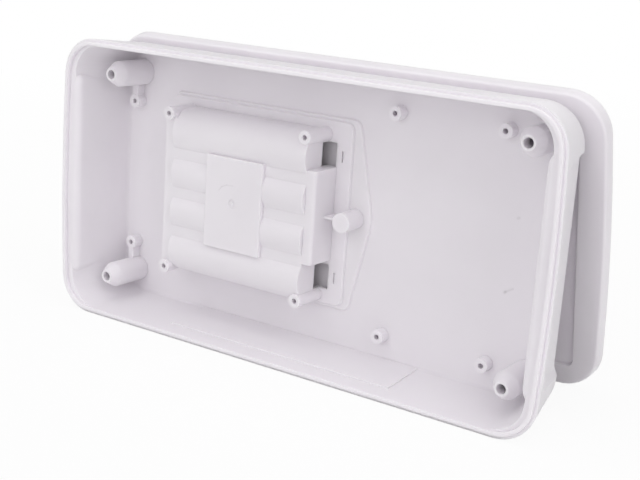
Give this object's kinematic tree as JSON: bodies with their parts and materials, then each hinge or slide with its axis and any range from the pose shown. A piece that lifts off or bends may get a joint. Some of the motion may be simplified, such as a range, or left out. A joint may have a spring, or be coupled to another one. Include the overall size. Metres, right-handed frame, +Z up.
{
  "type": "electronics enclosure with battery compartment",
  "caption": "Open two-part handheld electronics enclosure in off-white plastic: a deep base with a moulded battery bay, its door, and the shallow cover leaning behind it.",
  "frame": {"origin": "bottom centre of the whole set's box, on the surface that both halves stand on", "axes": "+X along the case's length, +Z up, -Y towards the viewer, where the base's opening faces"},
  "size_m": [0.2072, 0.0633, 0.1067],
  "materials": {
    "case_plastic": "fine matt moulding grain",
    "screw_steel": "bright zinc plate"
  },
  "bodies": {
    "root": {"base_shell": "case_plastic", "cover_shell": "case_plastic", "battery_door": "case_plastic", "door_screw": "screw_steel"}
  },
  "joints": []
}
